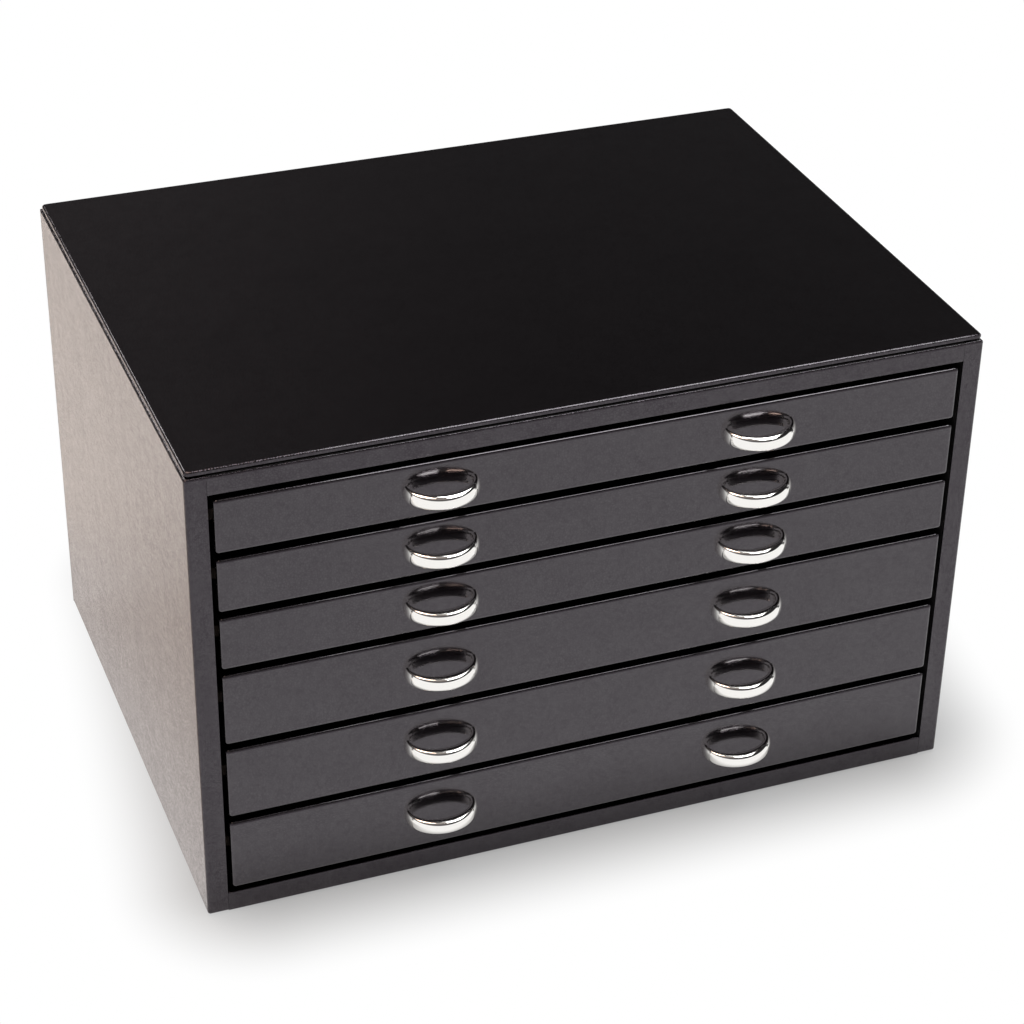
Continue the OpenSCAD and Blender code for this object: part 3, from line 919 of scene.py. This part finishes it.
class CHEST_OT_ring_rolls(bpy.types.Operator):
    """Makes the velour rolls that hold rings in the highest drawer"""

    bl_idname = "chest.ring_rolls"
    bl_label = "Ring rolls"

    def execute(self, context):
        look = context.scene.chest.lining
        finish = velour_finish(look)
        low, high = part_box("ring_rolls")
        centres = np.linspace(low.y + look.roll_width / 2, high.y - look.roll_width / 2, look.roll_count)
        rolls = [self.roll(look, low, high, y, seed) for seed, y in enumerate(centres, start=40)]
        made = piece("ring_roll_set", joined(rolls), DRAWERS[0], finish, "velour", "ring_rolls")
        return {"FINISHED"}

    def roll(self, look, low, high, y, seed):
        """One roll: upright sides under an elliptical crown, drawn in at both ends along a quarter circle."""
        half = look.roll_width / 2
        straight = high.z - low.z - look.roll_crown
        corner = 1.2 * MM
        angle = np.linspace(0.0, math.pi, 25)
        crown = np.stack([half * np.cos(angle), straight + look.roll_crown * np.sin(angle)], axis=1)
        section = np.concatenate([
            crown,
            turn((-half + corner, corner), corner, 180, 270, 5),
            turn((half - corner, corner), corner, 270, 360, 5)])
        tuck = look.roll_tuck
        ease = 1 - np.cos(np.linspace(0.0, math.pi / 2, 7))
        middle = np.linspace(low.x + tuck, high.x - tuck, 60)[1:-1]
        places = np.concatenate([low.x + tuck * ease, middle, high.x - tuck * ease[::-1]])
        inset = np.clip(np.minimum(places - low.x, high.x - places) / tuck, 0.0, 1.0)
        scale = 1 - 0.18 * (1 - np.sqrt(1 - (1 - inset) ** 2))
        loops = section[None, :, :] * scale[:, None, None]
        points, faces = sweep(loops + (y, low.z), places)
        sag = 0.25 * MM * ripples(points, 14 * MM, seed)
        points[:, 2] -= sag * (points[:, 2] - low.z) / (high.z - low.z)
        return points, faces


class CHEST_OT_box_finishes(bpy.types.Operator):
    """Finishes the boards, the drawer boxes, the runners, the felt and the screws"""

    bl_idname = "chest.box_finishes"
    bl_label = "Boxes and small parts"

    def execute(self, context):
        look = context.scene.chest.box
        paper = paper_finish(look)
        dress(paper, "left_side_board", "right_side_board", "top_board", "bottom_board", "back_board",
              "top_panel_core")
        dress(runner_finish(look), "left_runners", "right_runners")
        dress(felt_finish(look), "base_felt")
        steel = steel_finish(look)
        for drawer in DRAWERS:
            dress(paper, drawer + "_front_board", drawer + "_walls", drawer + "_bottom")
            dress(steel, drawer + "_screws")
        return {"FINISHED"}


class CHEST_OT_stage(bpy.types.Operator):
    """Sets the camera, the floor, the lamps and the room"""

    bl_idname = "chest.stage"
    bl_label = "Stage"

    # Name, place, aim, width, height, radiance and colour of each soft lamp
    lamps = (
        ("key lamp", (-0.5, 0.2, 1.6), (-0.5, 0.2, 0.0), 0.9, 1.1, 6.0, (1.0, 0.77, 0.63)),
        ("back lamp", (-0.65, 1.76, 1.38), (0.0, 0.0, 0.1), 0.6, 0.45, 5.5, (1.0, 0.97, 0.95)),
        ("right lamp", (0.71, 0.1, 1.9), (0.71, 0.1, 0.0), 0.78, 1.6, 6.5, (0.98, 1.0, 1.0)),
        ("ceiling", (0.0, -0.3, 2.4), (0.0, -0.3, 0.0), 3.0, 2.6, 0.15, (1.0, 0.88, 0.78)),
    )

    def execute(self, context):
        look = context.scene.chest.stage
        context.scene.view_settings.view_transform = "Standard"
        self.camera(context, look)
        self.floor(context, look)
        for lamp in self.lamps:
            self.lamp(context, *lamp)
        self.room(context, look)
        return {"FINISHED"}

    def camera(self, context, look):
        """A camera at an azimuth, an elevation and a roll round the point it looks at."""
        made = bpy.data.objects.new("camera", bpy.data.cameras.new("camera"))
        context.scene.collection.objects.link(made)
        made.data.lens = look.lens
        made.data.sensor_width = 36
        back = Vector((
            math.sin(look.azimuth) * math.cos(look.elevation),
            -math.cos(look.azimuth) * math.cos(look.elevation),
            math.sin(look.elevation)))
        right = Vector((math.cos(look.azimuth), math.sin(look.azimuth), 0.0))
        turned = Matrix((right, back.cross(right), back)).transposed() @ Matrix.Rotation(look.roll, 3, "Z")
        made.matrix_world = Matrix.Translation(Vector(look.aim) + look.distance * back) @ turned.to_4x4()
        context.scene.camera = made

    def floor(self, context, look):
        """A wide pale floor with the chest's shade painted on it as a grey glow. Away from the shade, the
        camera and mirrors see plain white. Only the case's left side mirrors a warmer floor, a painted
        reflection that the camera doesn't see, and the lit floor itself farther out.

        The shade is a leaning box with round corners. The distance from its outline is that from a box
        smaller by the rounding, less the rounding.
        """
        finish, tree = material("floor")
        straight, mirrored = sight(tree)
        place = tree.node("ShaderNodeTexCoord", output="Object")
        x = tree.node("ShaderNodeSeparateXYZ", None, {0: place}, "X")
        y = tree.node("ShaderNodeSeparateXYZ", None, {0: place}, "Y")
        spans = []
        for along, centre, half in zip((x - look.shade_lean * y, y), look.shade_centre, look.shade_half):
            span = tree.math("ABSOLUTE", along - centre, 0.0) - (half - look.shade_corner)
            spans.append(tree.math("MAXIMUM", span, 0.0))
        past = tree.node("ShaderNodeCombineXYZ", None, {"X": spans[0], "Y": spans[1]})
        distance = tree.node("ShaderNodeVectorMath", {"operation": "LENGTH"}, {0: past}, "Value")
        distance = distance - look.shade_corner
        # Painted shade: 0 inside the shade's outline, where the floor glows grey, rising to 1 where it glows
        # white
        seen = between(tree, distance, -look.shade_inside, look.shade_width)
        low = CAD_BOX[0]
        # Floor left of the chest, where mirrors see the painted warm reflection instead of the floor's own
        # colour
        left = between(tree, x, 0.3 * low.x, low.x) * between(tree, y, low.y, 0.7 * low.y)
        lit = left * between(tree, distance, 0.0, 2 * look.shade_width)
        pale = tree.math("MAXIMUM", seen, mirrored * left)
        # The camera sees the floor as at least four fifths glow, so its shade is mostly painted; only the
        # diffuse share shows the lamps' real shadow
        glow = (0.8 + 0.2 * pale) * tree.math("MAXIMUM", straight, mirrored * (1 - lit))
        colour = blend(tree, seen, look.shade_colour, WHITE)
        colour = blend(tree, mirrored * left, colour, look.left_painted_reflection)
        paint = tree.node("ShaderNodeBsdfDiffuse", None, {"Color": (*look.floor_colour, 1.0)})
        plain = tree.node("ShaderNodeEmission", None, {"Color": colour, "Strength": 1.0})
        mixed = tree.node("ShaderNodeMixShader", None, {0: glow, 1: paint, 2: plain})
        tree.node("ShaderNodeOutputMaterial", None, {"Surface": mixed})
        half = look.floor_size / 2
        mesh = bpy.data.meshes.new("floor")
        corners = [(-half, -half, 0), (half, -half, 0), (half, half, 0), (-half, half, 0)]
        mesh.from_pydata(corners, [], [(0, 1, 2, 3)])
        mesh.materials.append(finish)
        made = bpy.data.objects.new("floor", mesh)
        context.scene.collection.objects.link(made)

    def lamp(self, context, name, place, aim, width, height, radiance, colour):
        """A soft lamp turned to its aim, with the power that gives its face the radiance."""
        data = bpy.data.lights.new(name, "AREA")
        data.shape = "RECTANGLE"
        data.size = width
        data.size_y = height
        data.energy = radiance * math.pi * width * height
        data.color = colour
        made = bpy.data.objects.new(name, data)
        made.location = place
        made.rotation_euler = (Vector(aim) - Vector(place)).to_track_quat("-Z", "Y").to_euler()
        made.visible_camera = False
        context.scene.collection.objects.link(made)

    def room(self, context, look):
        """A dim room, a little lighter towards the floor and the left. The camera sees it white, and mirrors
        see a white wall in front of the chest."""
        world = bpy.data.worlds.new("room")
        world.use_nodes = True
        world.node_tree.nodes.clear()
        context.scene.world = world
        tree = Wire(world.node_tree)
        straight, mirrored = sight(tree)
        direction = tree.node("ShaderNodeTexCoord", output="Generated")
        x, y, rise = (tree.node("ShaderNodeSeparateXYZ", None, {0: direction}, axis) for axis in "XYZ")
        wall = between(tree, y, 0.0, -0.1) * between(tree, rise, 0.56, 0.48)
        dim = blend(tree, between(tree, rise, 0.3, 0.55), look.horizon, look.room)
        dim = blend(tree, between(tree, x, 0.33, 0.15), dim, look.left_glow)
        seen = tree.math("MAXIMUM", straight, wall * mirrored)
        colour = blend(tree, seen, dim, WHITE)
        light = tree.node("ShaderNodeBackground", None, {"Color": colour, "Strength": 1.0})
        tree.node("ShaderNodeOutputWorld", None, {"Surface": light})


OPERATORS = (CHEST_OT_stage, CHEST_OT_case_leather, CHEST_OT_drawer_fronts, CHEST_OT_pulls, CHEST_OT_linings,
             CHEST_OT_ring_rolls, CHEST_OT_box_finishes)


class CHEST_PT_panel(bpy.types.Panel):
    """Lists the chest's settings and the operators that build it"""

    bl_idname = "CHEST_PT_panel"
    bl_label = "Jewellery chest"
    bl_space_type = "VIEW_3D"
    bl_region_type = "UI"
    bl_category = "Chest"

    def draw(self, context):
        for operator in OPERATORS:
            self.layout.operator(operator.bl_idname)
        chest = context.scene.chest
        for group in (chest.leather, chest.pulls, chest.lining, chest.box, chest.stage):
            box = self.layout.box()
            for name in group.__annotations__:
                box.prop(group, name)


CLASSES = (LeatherSettings, PullSettings, LiningSettings, BoxSettings, StageSettings, ChestSettings,
           *OPERATORS, CHEST_PT_panel)


def register():
    for each in CLASSES:
        bpy.utils.register_class(each)
    bpy.types.Scene.chest = PointerProperty(type=ChestSettings)


def unregister():
    del bpy.types.Scene.chest
    for each in reversed(CLASSES):
        bpy.utils.unregister_class(each)


def main():
    register()
    bpy.ops.chest.stage()
    bpy.ops.chest.case_leather()
    bpy.ops.chest.drawer_fronts()
    bpy.ops.chest.pulls()
    bpy.ops.chest.linings()
    bpy.ops.chest.ring_rolls()
    bpy.ops.chest.box_finishes()


if __name__ == "__main__":
    main()
